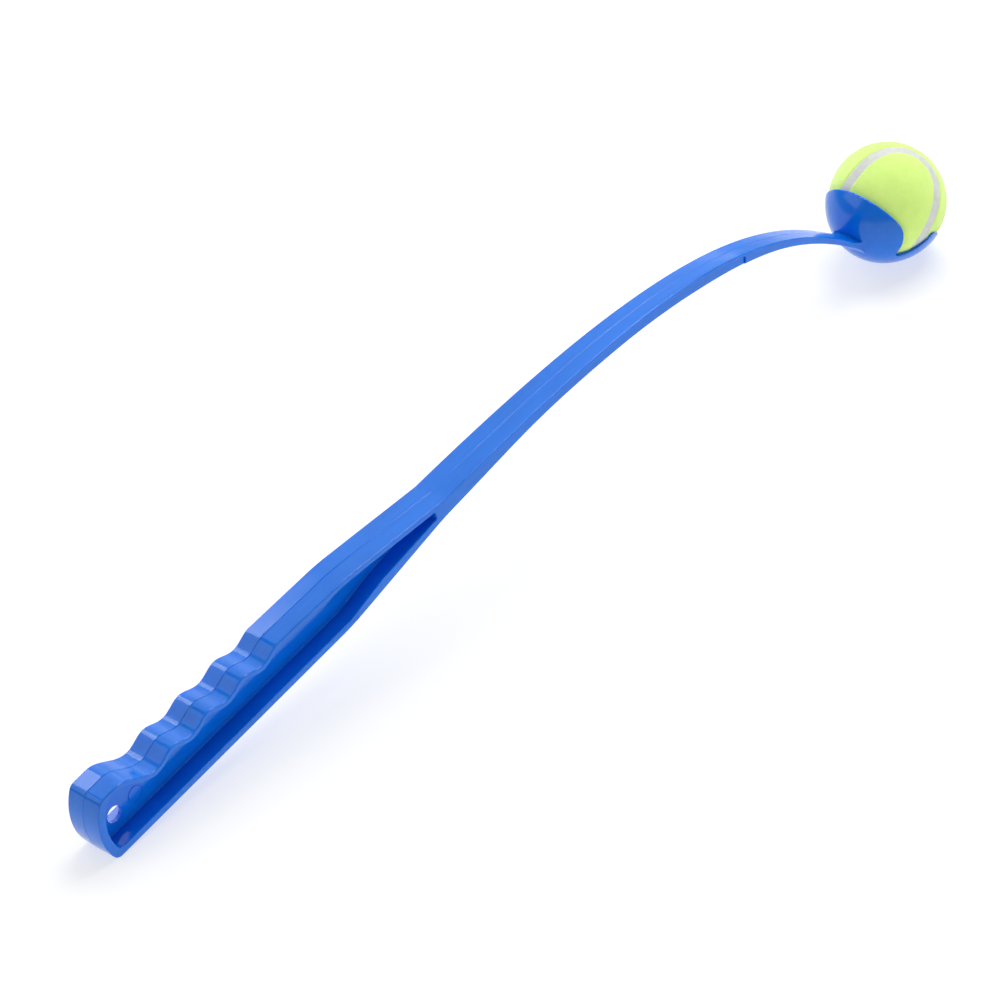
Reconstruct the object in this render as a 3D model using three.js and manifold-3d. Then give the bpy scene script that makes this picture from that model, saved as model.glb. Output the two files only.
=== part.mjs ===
// Ball launcher for dogs: a one-piece moulded wand with a claw cup, and the tennis ball that it throws.
//
// The wand is drawn in its own side view first: x runs from the hang hole towards the ball, z is up
// on the side where the fingers go, y runs across, and the hang hole's centre is the origin. At the
// end the whole thing is tilted so that it stands on its butt and on the bottom of its cup, with the
// centre of its footprint at the origin. All lengths are in millimetres.

import * as THREE from "three";
import { mergeVertices } from "three/addons/utils/BufferGeometryUtils.js";
import Module from "manifold-3d";

const wasm = await Module();
wasm.setup();

// Widths across the wand
const buttWidth = 21.5;
const neckWidth = 20;
const padWidth = 19.4;
const webThickness = 2;

// Butt, in the side view
const buttReach = 16.7;
const buttRadius = 35.4;
const buttRise = 1.7;
const buttCornerRadius = 5;
const hornCornerRadius = 4.5;
const buttHeight = 24;
const buttDrop = 14.3;
const hornEnd = 2;
const hangHole = 9;

// Finger grooves along the top of the grip
const grooveCount = 4;
const groovePitch = 24.9;
const grooveDepth = 3.8;
const firstGroove = 25.5;
const firstGrooveHeight = 14.4;
const gripFall = 1.75;

// Bends where the grip tapers into the neck
const topBend = 161;
const topBendHeight = 13.2;
const bottomBend = 156;
const bottomBendDrop = 15.8;
const neck = 231;
const neckHeight = 2.5;
const heelSetback = 7;
const heelDrop = 8;
const bendBlend = 5;

// Walls round the two side pockets of the grip
const buttWall = 5;
const topRim = 3.2;
const topRoot = 4;
const bottomRim = 4.2;
const bottomRoot = 6;
const kneeShare = 0.368;
const kneeRim = 6;
const pocketEndSetback = 7.3;
const pocketEndDrop = 3.9;
const pocketEndRoot = 0.8;
const pocketCornerRadius = 4;
const pocketTipRadius = 1.1;

// Arm
const ballReach = 575.1;
const ballDrop = 93;
const neckDepth = 10;
const waistDepth = 7.1;
const bellyDepth = 7.6;
const wristDepth = 4.8;
const tipDepth = 3.3;
const lipThickness = 1.5;
const recessDepth = 0.8;
const recessLead = 3;
const recessFullShare = 0.18;
const recessEndShare = 0.703;
const recessEndRadius = 2;
const padRise = 5;
const padDrop = 8.2;
const padCrown = 2;
const padBlend = 13;
const padStart = 8.3;
const padSink = 1.5;

// Ball
const ballRadius = 31.4;
const feltThickness = 2.4;
const coreWall = 3.4;
const seamWidth = 5.7;
const seamSunk = 0.6;
const glueGap = 0.3;
const coreGap = 0.6;
const seamWaveShare = 0.111;
const seamTilts = [-45.9, 74.5, 37.1];

// Cup
const ballClearance = 0.3;
const cupLipWall = 1.1;
const cupBackWall = 3.4;
const mouthTilt = 39;
const mouthSetback = 6.4;
const notchRadius = 1.5;

// Moulding
const partingDraft = 1.2;
const edgeRound = 0.7;

// Overrun of every cutter past the face that it cuts
const overrun = 3;

// Shape of the arm: where the handles of its Bezier curve lie along its reach and its drop
const armHandleShares = [[0.556, 0.019], [0.814, 0.25]];

// Depth of the arm along its curve, and its width against the neck's along its reach
const armDepthPlaces = [
  { share: 0, depth: neckDepth },
  { share: 0.16, depth: waistDepth },
  { share: 0.3, depth: waistDepth },
  { share: 0.5, depth: bellyDepth },
  { share: 0.75, depth: wristDepth },
  { share: 1, depth: tipDepth },
];
const armWidthShares = [[0, 1], [0.16, 0.96], [0.37, 0.877], [0.59, 0.759], [0.84, 0.687], [1, 0.635]];

// Bends of the arm's top and bottom lines as they spread into the pad on the back of the cup, as
// shares of the way along and of the way back up or down to where the spread starts
const padTopShares = [0.5, 0.1];
const padLowShares = [0.8, 0.45];

// Rims of the cup in the side view, as shares of the ball's radius from the ball's centre:
// the back disc from its top down to the notch, and the lower lip from the notch to its highest point
const backRimShares = [
  [-0.7, 1.2], [-0.69, 0.82], [-0.655, 0.6], [-0.617, 0.42], [-0.585, 0.22], [-0.6, 0.07],
  [-0.645, -0.1], [-0.72, -0.285],
];
const lipRimShares = [[-0.7, -0.375], [-0.56, -0.39], [-0.34, -0.345], [-0.17, -0.3]];

// How finely the round forms are divided
const cupSides = 48;
const armSteps = 30;
const grooveSteps = 9;
const cornerSteps = 5;
const notchSteps = 3;
const seamSteps = 56;
const panelRings = 10;
const roundSides = 28;

const cupInside = ballRadius + ballClearance;
const cupFront = cupInside + cupLipWall;
const cupBack = cupInside + cupBackWall;
const ballPlace = new THREE.Vector2(ballReach, -ballDrop);
const heel = neck - heelSetback;
const armStart = new THREE.Vector2(neck, neckHeight);
const armEnd = new THREE.Vector2(ballReach - cupBack + padSink, -ballDrop);
const degree = Math.PI / 180;

const plastic = new THREE.MeshStandardMaterial({ color: 0x1458dc, roughness: 0.22, metalness: 0 });
const felt = new THREE.MeshStandardMaterial({ color: 0xd4fa64, roughness: 0.95, metalness: 0 });
const seamRubber = new THREE.MeshStandardMaterial({ color: 0xd2d6d2, roughness: 0.7, metalness: 0 });
const coreRubber = new THREE.MeshStandardMaterial({ color: 0x2b2b2d, roughness: 0.85, metalness: 0 });

// Plane curves

function arc(centre, radius, from, to, steps) {
  const points = [];
  for (let i = 0; i <= steps; i += 1) {
    const angle = from + ((to - from) * i) / steps;
    points.push(new THREE.Vector2(Math.cos(angle), Math.sin(angle)).multiplyScalar(radius).add(centre));
  }
  return points;
}

// Rounds the middle one of three points, leaving each leg at the given distance from the corner
function softCorner(before, corner, after, reach, steps) {
  const start = corner.clone().add(before.clone().sub(corner).setLength(reach));
  const end = corner.clone().add(after.clone().sub(corner).setLength(reach));
  return new THREE.QuadraticBezierCurve(start, corner, end).getPoints(steps);
}

// Moves each point of an open or closed line to its right by its own distance
function moveAside(points, distanceAt, closed) {
  return points.map((point, i) => {
    const last = points.length - 1;
    const before = points[i > 0 ? i - 1 : closed ? last : 0];
    const after = points[i < last ? i + 1 : closed ? 0 : last];
    const run = after.clone().sub(before).normalize();
    const right = new THREE.Vector2(run.y, -run.x);
    return point.clone().addScaledVector(right, distanceAt(point, right));
  });
}

// A smooth value read from rows of [place, value], level with its neighbours' slope at each row
function readSmooth(rows, place) {
  const last = rows.length - 1;
  const clamped = Math.min(Math.max(place, rows[0][0]), rows[last][0]);
  const i = Math.min(Math.max(rows.findIndex((row) => row[0] > clamped) - 1, 0), last - 1);
  const k = clamped >= rows[last][0] ? last - 1 : i;
  const slope = (n) => {
    const a = rows[Math.max(n - 1, 0)];
    const b = rows[Math.min(n + 1, last)];
    return (b[1] - a[1]) / (b[0] - a[0]);
  };
  const span = rows[k + 1][0] - rows[k][0];
  const t = (clamped - rows[k][0]) / span;
  const h = t * t * (3 - 2 * t);
  return rows[k][1] * (1 - h) + rows[k + 1][1] * h
    + span * t * (1 - t) * (slope(k) * (1 - t) - slope(k + 1) * t);
}

// Solids

function toSolid(geometry) {
  const bare = geometry.clone();
  bare.deleteAttribute("normal");
  bare.deleteAttribute("uv");
  const merged = mergeVertices(bare);
  return new wasm.Manifold(new wasm.Mesh({
    numProp: 3,
    vertProperties: new Float32Array(merged.attributes.position.array),
    triVerts: new Uint32Array(merged.index.array),
  }));
}

function toGeometry(solid) {
  const mesh = solid.getMesh();
  const geometry = new THREE.BufferGeometry();
  geometry.setAttribute("position", new THREE.BufferAttribute(mesh.vertProperties, 3));
  geometry.setIndex(new THREE.BufferAttribute(mesh.triVerts, 1));
  geometry.computeVertexNormals();
  return geometry;
}

// A closed body through loops of equally many points; each end is filled across its first two axes
function loft(loops, capAxes) {
  const size = loops[0].length;
  const positions = loops.flatMap((loop) => loop.flatMap((point) => [point.x, point.y, point.z]));
  const triangles = [];
  for (let row = 0; row + 1 < loops.length; row += 1) {
    for (let i = 0; i < size; i += 1) {
      const a = row * size + i;
      const b = row * size + ((i + 1) % size);
      triangles.push([a, b, b + size], [a, b + size, a + size]);
    }
  }
  const lastRow = (loops.length - 1) * size;
  fillLoop(loops[0], capAxes).forEach(([a, b, c]) => triangles.push([a, c, b]));
  fillLoop(loops[loops.length - 1], capAxes)
    .forEach(([a, b, c]) => triangles.push([lastRow + a, lastRow + b, lastRow + c]));
  return closedGeometry(positions, triangles);
}

// Triangles that fill a loop seen along one axis, wound the same way round as the loop is
function fillLoop(loop, [u, v]) {
  const flat = loop.map((point) => new THREE.Vector2(point[u], point[v]));
  const triangles = THREE.ShapeUtils.triangulateShape(flat, []);
  const filled = triangles.reduce((sum, corners) => {
    return sum + THREE.ShapeUtils.area(corners.map((i) => flat[i]));
  }, 0);
  const same = filled * THREE.ShapeUtils.area(flat) > 0;
  return same ? triangles : triangles.map(([a, b, c]) => [a, c, b]);
}

// Turns every face outwards, by the sign of the volume that the faces enclose
function closedGeometry(positions, triangles) {
  const corner = (i) => new THREE.Vector3().fromArray(positions, 3 * i);
  let volume = 0;
  triangles.forEach(([a, b, c]) => {
    volume += corner(a).dot(corner(b).cross(corner(c)));
  });
  const facing = volume > 0 ? triangles : triangles.map(([a, b, c]) => [a, c, b]);
  const geometry = new THREE.BufferGeometry();
  geometry.setAttribute("position", new THREE.Float32BufferAttribute(positions, 3));
  geometry.setIndex(facing.flat());
  geometry.computeVertexNormals();
  return geometry;
}

// A slab whose faces follow side-view outlines, each at its own distance across the wand
function sideSlab(layers) {
  const loops = layers.map(({ outline, across }) => outline.map((point) => {
    return new THREE.Vector3(point.x, across(point.x), point.y);
  }));
  return toSolid(loft(loops, ["x", "z"]));
}

// Side view of the grip

// Height of the top of the grip: the flat horn, its fall to the first groove, and the finger grooves
function gripHeight(x) {
  const middle = firstGrooveHeight - ((x - firstGroove) / (grooveCount * groovePitch)) * gripFall;
  const groove = middle - (grooveDepth / 2) * Math.cos((2 * Math.PI * (x - firstGroove)) / groovePitch);
  if (x <= hornEnd) {
    return buttHeight;
  }
  if (x < firstGroove) {
    const bottom = firstGrooveHeight - grooveDepth / 2;
    const fall = (1 + Math.cos((Math.PI * (x - hornEnd)) / (firstGroove - hornEnd))) / 2;
    return bottom + (buttHeight - bottom) * fall;
  }
  return groove;
}

// The top line of the grip from the horn to the neck
function gripTop() {
  const points = [];
  const lastCrest = firstGroove + (grooveCount - 0.5) * groovePitch;
  for (let i = 0; i < grooveSteps; i += 1) {
    const x = hornEnd + ((firstGroove - hornEnd) * i) / grooveSteps;
    points.push(new THREE.Vector2(x, gripHeight(x)));
  }
  const waves = Math.round((grooveCount - 0.5) * grooveSteps);
  for (let i = 0; i <= waves; i += 1) {
    const x = firstGroove + ((lastCrest - firstGroove) * i) / waves;
    points.push(new THREE.Vector2(x, gripHeight(x)));
  }
  const crest = points[points.length - 1];
  const bend = new THREE.Vector2(topBend, topBendHeight);
  points.push(...softCorner(crest, bend, armStart, bendBlend, cornerSteps));
  return points;
}

// The round end of the butt, from its bottom line round to its top line, set in by the wall
function buttEnd(wall, top, bottom, bottomCorner, topCorner) {
  const middle = new THREE.Vector2(buttRadius - buttReach, buttRise);
  const radius = buttRadius - wall;
  const cornerCentre = (level, corner, side) => {
    const z = level - side * corner;
    const x = middle.x - Math.sqrt((radius - corner) ** 2 - (z - middle.y) ** 2);
    return new THREE.Vector2(x, z);
  };
  const low = cornerCentre(bottom, bottomCorner, -1);
  const high = cornerCentre(top, topCorner, 1);
  const lowAngle = Math.atan2(low.y - middle.y, low.x - middle.x) + 2 * Math.PI;
  const highAngle = Math.atan2(high.y - middle.y, high.x - middle.x);
  return [
    ...arc(low, bottomCorner, 1.5 * Math.PI, lowAngle, cornerSteps),
    ...arc(middle, radius, lowAngle, highAngle, 2 * cornerSteps).slice(1, -1),
    ...arc(high, topCorner, highAngle, Math.PI / 2, cornerSteps),
  ];
}

// Arm

const armCurve = new THREE.CubicBezierCurve(
  armStart,
  ...armHandleShares.map(([along, down]) => new THREE.Vector2(
    armStart.x + along * (armEnd.x - armStart.x),
    armStart.y + down * (armEnd.y - armStart.y),
  )),
  armEnd,
);

function armDepth(share) {
  return readSmooth(armDepthPlaces.map((place) => [place.share, place.depth]), share);
}

// A point on the arm's top line, with the point straight through the arm from it
function armStation(share) {
  const top = armCurve.getPoint(share);
  const run = armCurve.getTangent(share);
  const bottom = top.clone().add(new THREE.Vector2(run.y, -run.x).setLength(armDepth(share)));
  return { top, bottom };
}

function armStations(from, to) {
  const stations = [];
  for (let i = 0; i <= armSteps; i += 1) {
    stations.push(armStation(from + ((to - from) * i) / armSteps));
  }
  return stations;
}

// The share of the arm's curve at a distance along it, counted back from its end where it is negative
function armShare(distance) {
  const length = armCurve.getLength();
  return armCurve.getUtoTmapping(0, distance < 0 ? length + distance : distance);
}

// The top or bottom line of the arm where it spreads into the pad on the back of the cup
function padLine(start, height, [along, back]) {
  const end = new THREE.Vector2(armEnd.x, ballPlace.y + height);
  const bend = new THREE.Vector2(start.x + along * (end.x - start.x), end.y + back * (start.y - end.y));
  return [
    ...new THREE.QuadraticBezierCurve(start, bend, end).getPoints(cornerSteps),
    new THREE.Vector2(ballPlace.x - cupInside, end.y),
  ];
}

// Half the width of the wand at a place along it
function halfWidth(x) {
  if (x <= neck) {
    const share = (x + buttReach) / (neck + buttReach);
    return (buttWidth + (neckWidth - buttWidth) * share) / 2;
  }
  const arm = (neckWidth / 2) * readSmooth(armWidthShares, (x - neck) / (armEnd.x - neck));
  const flare = Math.min(Math.max((x - armEnd.x + padBlend) / padBlend, 0), 1);
  return arm + (padWidth / 2 - arm) * flare * flare;
}

// The whole outline of the grip and arm, from the cup along the bottom, round the butt and back,
// with the pad's height cut by the crown at its top and at its bottom
function wandOutline(crown) {
  const stations = armStations(0, armShare(-padStart));
  const armTip = stations.pop();
  const heelPoint = new THREE.Vector2(heel, -heelDrop);
  const bendPoint = new THREE.Vector2(bottomBend, -bottomBendDrop);
  const end = buttEnd(0, buttHeight, -buttDrop, buttCornerRadius, hornCornerRadius);
  return [
    ...padLine(armTip.bottom, crown - padDrop, padLowShares).reverse(),
    ...stations.map((station) => station.bottom).reverse(),
    heelPoint,
    ...softCorner(heelPoint, bendPoint, end[0], bendBlend, cornerSteps),
    ...end,
    ...gripTop(),
    ...stations.map((station) => station.top),
    ...padLine(armTip.top, padRise - crown, padTopShares),
  ];
}

// The grip and arm as one body: two halves drawn apart from the parting line, with eased edges.
// The draft fades out on the underside, which is left square so that the grip lies flat.
function wandBar() {
  const outline = wandOutline(0);
  const drawIn = (eased) => moveAside(wandOutline(padCrown), (point, right) => {
    const draft = halfWidth(point.x) * Math.tan(partingDraft * degree);
    return draft * (1 - Math.max(right.y, 0)) + eased;
  }, true);
  const inner = drawIn(0);
  const outer = drawIn(edgeRound);
  const layer = (points, side, eased) => ({
    outline: points,
    across: (x) => side * (halfWidth(x) - eased),
  });
  return sideSlab([
    layer(outer, -1, 0),
    layer(inner, -1, edgeRound),
    { outline, across: () => 0 },
    layer(inner, 1, edgeRound),
    layer(outer, 1, 0),
  ]);
}

// One ring of a side pocket: the rim at the face of the grip, or the root where it meets the web
function pocketOutline(top, bottom, knee, endDrop, inset) {
  const radius = pocketCornerRadius - inset;
  const end = buttEnd(buttWall + inset, buttHeight - top, bottom - buttDrop, radius, radius);
  const roof = moveAside(gripTop(), () => top, false);
  const tip = neck - pocketEndSetback - inset;
  const bendPoint = new THREE.Vector2(bottomBend, -bottomBendDrop);
  const kneePoint = bendPoint.clone().lerp(new THREE.Vector2(heel, -heelDrop), kneeShare);
  bendPoint.y += bottom;
  kneePoint.y += knee;
  const tipBottom = new THREE.Vector2(tip, -endDrop);
  const roofEnd = roof[roof.length - 1];
  const roofDirection = armStart.clone().sub(new THREE.Vector2(topBend, topBendHeight)).normalize();
  const tipTop = roofEnd.clone().addScaledVector(roofDirection, (tip - roofEnd.x) / roofDirection.x);
  return [
    ...softCorner(tipTop, tipBottom, kneePoint, pocketTipRadius, cornerSteps),
    kneePoint,
    bendPoint,
    ...end,
    ...roof,
    ...softCorner(roofEnd, tipTop, tipBottom, pocketTipRadius, cornerSteps),
  ];
}

// Both side pockets, which leave the web between the flanges
function pockets() {
  const rim = pocketOutline(topRim, bottomRim, kneeRim, pocketEndDrop, 0);
  const kneeRoot = kneeRim + bottomRoot - bottomRim;
  const root = pocketOutline(topRoot, bottomRoot, kneeRoot, pocketEndDrop - pocketEndRoot, pocketEndRoot);
  return [-1, 1].map((side) => sideSlab([
    { outline: root, across: () => side * (webThickness / 2) },
    { outline: rim, across: (x) => side * halfWidth(x) },
    { outline: rim, across: (x) => side * (halfWidth(x) + overrun) },
  ]));
}

// The shallow side recesses that leave the arm with a lip along its top, open at the bottom
function armRecesses() {
  const reach = armCurve.getLength();
  const stations = armStations(armShare(recessLead), armShare(recessEndShare * reach));
  const below = ({ top, bottom }, distance) => {
    return top.clone().add(bottom.clone().sub(top).setLength(distance));
  };
  const roof = stations.map((station) => below(station, lipThickness));
  const floor = stations.map((station) => below(station, neckDepth + overrun));
  const wallTop = roof.pop();
  const roofEnd = roof[roof.length - 1];
  const outline = [
    ...roof,
    ...softCorner(roofEnd, wallTop, floor[floor.length - 1], recessEndRadius, cornerSteps),
    ...floor.reverse(),
  ];
  const start = stations[0].top.x;
  const depth = (x) => recessDepth * Math.min((x - start) / (recessFullShare * reach), 1);
  return [-1, 1].map((side) => sideSlab([
    { outline, across: (x) => side * (halfWidth(x) - depth(x)) },
    { outline, across: (x) => side * (halfWidth(x) + overrun) },
  ]));
}

function hangHoleCutter() {
  const radius = hangHole / 2;
  return toSolid(new THREE.CylinderGeometry(radius, radius, webThickness + 2 * overrun, roundSides));
}

// Cup

// The outside of the cup: a ball in front, drawn out to a thicker wall at the back where the arm joins
function cupOutside() {
  const profile = [];
  for (let i = 0; i <= cupSides / 2; i += 1) {
    const angle = (Math.PI * i) / (cupSides / 2);
    const along = -Math.cos(angle) * (angle < Math.PI / 2 ? cupBack : cupFront);
    profile.push(new THREE.Vector2(Math.max(Math.sin(angle) * cupFront, 0), along));
  }
  profile[profile.length - 1].x = 0;
  const form = new THREE.LatheGeometry(profile, cupSides);
  form.rotateZ(-Math.PI / 2);
  form.translate(ballPlace.x, 0, ballPlace.y);
  return toSolid(form);
}

function cupHollow() {
  const hollow = new THREE.SphereGeometry(cupInside, cupSides, cupSides / 2);
  hollow.translate(ballPlace.x, 0, ballPlace.y);
  return toSolid(hollow);
}

// The side view of what is kept of the sphere: the back disc, the notch, and the lip below the mouth
function cupKeep() {
  const place = ([x, z]) => new THREE.Vector2(x, z).multiplyScalar(ballRadius).add(ballPlace);
  const backRim = new THREE.SplineCurve(backRimShares.map(place)).getPoints(3 * cornerSteps);
  const lipRim = new THREE.SplineCurve(lipRimShares.map(place)).getPoints(2 * cornerSteps);
  const mouth = new THREE.Vector2(Math.cos(mouthTilt * degree), Math.sin(mouthTilt * degree));
  const along = new THREE.Vector2(mouth.y, -mouth.x);
  const mouthPoint = ballPlace.clone().addScaledVector(mouth, -mouthSetback);
  const [beforeNotch, notch] = backRim.slice(-2);
  const peak = lipRim[lipRim.length - 1];
  const onMouth = mouthPoint.clone().addScaledVector(along, peak.clone().sub(mouthPoint).dot(along));
  const far = mouthPoint.clone().addScaledVector(along, 2 * ballRadius);
  const low = ballPlace.y - 2 * ballRadius;
  const behind = ballPlace.x - 2 * ballRadius;
  const outline = [
    ...backRim.slice(0, -1),
    ...softCorner(beforeNotch, notch, lipRim[1], notchRadius / 2, notchSteps),
    ...lipRim.slice(1, -1),
    ...softCorner(lipRim[lipRim.length - 2], onMouth, far, notchRadius, cornerSteps),
    far,
    new THREE.Vector2(far.x, low),
    new THREE.Vector2(behind, low),
    new THREE.Vector2(behind, backRim[0].y),
  ];
  const reach = cupFront + overrun;
  return sideSlab([
    { outline, across: () => -reach },
    { outline, across: () => reach },
  ]);
}

function buildWand() {
  const [leftPocket, rightPocket] = pockets();
  const [leftRecess, rightRecess] = armRecesses();
  const bar = wandBar()
    .subtract(leftPocket)
    .subtract(rightPocket)
    .subtract(leftRecess)
    .subtract(rightRecess)
    .subtract(hangHoleCutter());
  const cup = cupOutside().intersect(cupKeep());
  return named("wand", toGeometry(bar.add(cup).subtract(cupHollow())), plastic);
}

// Ball

// The seam on a unit sphere, and the direction in the sphere's surface square to it
function seamAt(share) {
  const t = 2 * Math.PI * share;
  const b = seamWaveShare;
  const a = 1 - b;
  const c = 2 * Math.sqrt(a * b);
  const point = (s) => new THREE.Vector3(
    a * Math.cos(s) + b * Math.cos(3 * s),
    a * Math.sin(s) - b * Math.sin(3 * s),
    c * Math.sin(2 * s),
  ).normalize();
  const here = point(t);
  const step = Math.PI / 720;
  const run = point(t + step).sub(point(t - step)).normalize();
  const aside = run.clone().cross(here).normalize();
  return { here, aside };
}

// The seam moved sideways over the sphere, towards the upper pole for a positive distance
function seamEdge(share, distance) {
  const { here, aside } = seamAt(share);
  const angle = distance / ballRadius;
  const up = aside.z < 0 ? -1 : 1;
  return here.clone().multiplyScalar(Math.cos(angle)).addScaledVector(aside, up * Math.sin(angle));
}

// One of the two felt panels: spokes run over the sphere from its pole to the edge of the seam
function feltPanel(side) {
  const pole = new THREE.Vector3(0, 0, side);
  const outside = ballRadius;
  const inside = ballRadius - feltThickness;
  const positions = [];
  const triangles = [];
  const skin = (radius) => {
    const first = positions.length / 3;
    positions.push(...pole.clone().multiplyScalar(radius).toArray());
    for (let ring = 1; ring <= panelRings; ring += 1) {
      for (let i = 0; i < seamSteps; i += 1) {
        const edge = seamEdge(i / seamSteps, (side * seamWidth) / 2);
        const turn = pole.angleTo(edge) * (ring / panelRings);
        const axis = pole.clone().cross(edge).normalize();
        positions.push(...pole.clone().applyAxisAngle(axis, turn).multiplyScalar(radius).toArray());
      }
    }
    return first;
  };
  const outer = skin(outside);
  const inner = skin(inside);
  const at = (first, ring, i) => first + 1 + (ring - 1) * seamSteps + (i % seamSteps);
  for (let i = 0; i < seamSteps; i += 1) {
    triangles.push([outer, at(outer, 1, i), at(outer, 1, i + 1)]);
    triangles.push([inner, at(inner, 1, i + 1), at(inner, 1, i)]);
    for (let ring = 1; ring < panelRings; ring += 1) {
      const quads = [[outer, i, i + 1], [inner, i + 1, i]];
      quads.forEach(([first, one, two]) => {
        const a = at(first, ring, one);
        const b = at(first, ring, two);
        const c = at(first, ring + 1, two);
        const d = at(first, ring + 1, one);
        triangles.push([a, d, c], [a, c, b]);
      });
    }
    const a = at(outer, panelRings, i);
    const b = at(outer, panelRings, i + 1);
    const c = at(inner, panelRings, i + 1);
    const d = at(inner, panelRings, i);
    triangles.push([a, d, c], [a, c, b]);
  }
  return closedGeometry(positions, triangles);
}

// The rubber line between the panels: a flat section carried once round the seam
function seamBand() {
  const half = seamWidth / 2 - glueGap;
  const outside = ballRadius - seamSunk;
  const inside = ballRadius - feltThickness;
  const positions = [];
  const triangles = [];
  for (let i = 0; i < seamSteps; i += 1) {
    const low = seamEdge(i / seamSteps, -half);
    const high = seamEdge(i / seamSteps, half);
    [[low, outside], [high, outside], [high, inside], [low, inside]].forEach(([point, radius]) => {
      positions.push(...point.clone().multiplyScalar(radius).toArray());
    });
    for (let k = 0; k < 4; k += 1) {
      const next = (i + 1) % seamSteps;
      const a = 4 * i + k;
      const b = 4 * i + ((k + 1) % 4);
      const c = 4 * next + ((k + 1) % 4);
      const d = 4 * next + k;
      triangles.push([a, b, c], [a, c, d]);
    }
  }
  return closedGeometry(positions, triangles);
}

// Half of the hollow rubber core, glued to the other half at the ball's middle
function coreHalf(side) {
  const outside = ballRadius - feltThickness - coreGap;
  const inside = outside - coreWall;
  const lowest = (radius) => Math.asin(glueGap / 2 / radius);
  const rings = roundSides / 4;
  const centre = new THREE.Vector2(0, 0);
  const profile = [
    ...arc(centre, outside, lowest(outside), Math.PI / 2, rings),
    ...arc(centre, inside, Math.PI / 2, lowest(inside), rings),
  ];
  profile[rings].x = 0;
  profile[rings + 1].x = 0;
  profile.push(profile[0].clone());
  const half = new THREE.LatheGeometry(profile, roundSides);
  half.rotateX((side * Math.PI) / 2);
  return toGeometry(toSolid(half));
}

function buildBall() {
  const ball = new THREE.Group();
  ball.add(named("core_half_upper", coreHalf(1), coreRubber));
  ball.add(named("core_half_lower", coreHalf(-1), coreRubber));
  ball.add(named("felt_panel_upper", feltPanel(1), felt));
  ball.add(named("felt_panel_lower", feltPanel(-1), felt));
  ball.add(named("ball_seam", seamBand(), seamRubber));
  ball.rotation.set(...seamTilts.map((angle) => angle * degree));
  ball.position.set(ballPlace.x, 0, ballPlace.y);
  return ball;
}

function named(name, geometry, material) {
  const mesh = new THREE.Mesh(geometry, material);
  mesh.name = name;
  return mesh;
}

// Stance

// The tilt at which the butt's lower corner and the bottom of the cup touch one level surface
function restingTilt() {
  const end = buttEnd(0, buttHeight, -buttDrop, buttCornerRadius, hornCornerRadius);
  const corner = new THREE.Vector2(end[0].x, end[0].y + buttCornerRadius);
  const span = ballPlace.clone().sub(corner);
  return Math.asin((cupFront - buttCornerRadius) / span.length()) - Math.atan2(span.y, span.x);
}

const launcher = new THREE.Group();
launcher.add(buildWand());
launcher.add(buildBall());
launcher.rotation.y = -restingTilt();
launcher.updateMatrixWorld(true);

const box = new THREE.Box3().setFromObject(launcher, true);
const middle = box.getCenter(new THREE.Vector3());
launcher.position.set(-middle.x, 0, -box.min.z);

const object = new THREE.Group();
object.add(launcher);

export default object;
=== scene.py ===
"""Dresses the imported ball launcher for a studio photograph.

The wand and the ball's felt and seam are drawn again here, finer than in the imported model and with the
moulding's real edges, in the same side view as the part: x runs from the hang hole towards the ball, z is
up on the finger side and y runs across. Each piece is then tilted into the model's own stance.
"""

import math

import bmesh
import bpy
import numpy as np
from bpy.props import FloatProperty, FloatVectorProperty, IntProperty, PointerProperty
from mathutils import Matrix, Vector, noise
from mathutils.geometry import delaunay_2d_cdt


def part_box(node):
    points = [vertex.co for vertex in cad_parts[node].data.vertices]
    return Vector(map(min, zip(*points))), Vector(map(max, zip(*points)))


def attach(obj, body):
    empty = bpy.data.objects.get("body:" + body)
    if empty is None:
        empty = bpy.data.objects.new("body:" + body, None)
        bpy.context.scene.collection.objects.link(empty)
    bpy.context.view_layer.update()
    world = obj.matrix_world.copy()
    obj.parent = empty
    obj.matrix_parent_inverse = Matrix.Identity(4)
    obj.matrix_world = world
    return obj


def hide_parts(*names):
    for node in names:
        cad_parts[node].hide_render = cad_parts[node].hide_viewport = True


bl_info = {
    "name": "Ball launcher",
    "version": (1, 0, 0),
    "blender": (4, 5, 0),
    "location": "3D View > Sidebar > Launcher",
    "description": "Builds a moulded ball launcher with its felt ball, and the studio round it",
    "category": "Object",
}

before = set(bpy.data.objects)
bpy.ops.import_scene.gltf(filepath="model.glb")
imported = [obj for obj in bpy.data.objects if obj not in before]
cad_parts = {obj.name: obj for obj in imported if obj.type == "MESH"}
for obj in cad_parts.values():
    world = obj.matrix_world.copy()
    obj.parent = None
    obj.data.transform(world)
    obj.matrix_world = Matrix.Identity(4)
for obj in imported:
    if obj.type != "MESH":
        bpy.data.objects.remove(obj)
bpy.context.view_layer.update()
MM = 0.001

# Where the handles of the arm's curve lie, as shares of its reach and of its drop
ARM_HANDLE_SHARES = ((0.556, 0.019), (0.814, 0.25))

# Depth of the arm at shares of its curve, against the depth at the neck
ARM_DEPTH_SHARES = ((0, 1), (0.16, 0.71), (0.3, 0.71), (0.5, 0.76), (0.75, 0.48), (1, 0.33))

# Width of the arm at shares of its reach, against the width at the neck
ARM_WIDTH_SHARES = ((0, 1), (0.16, 0.96), (0.37, 0.877), (0.59, 0.759), (0.84, 0.687), (1, 0.635))

# Bends of the arm's lines as they spread into the pad: along the spread, and back to its start
PAD_TOP_SHARES = (0.5, 0.1)
PAD_LOW_SHARES = (0.8, 0.45)

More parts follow.
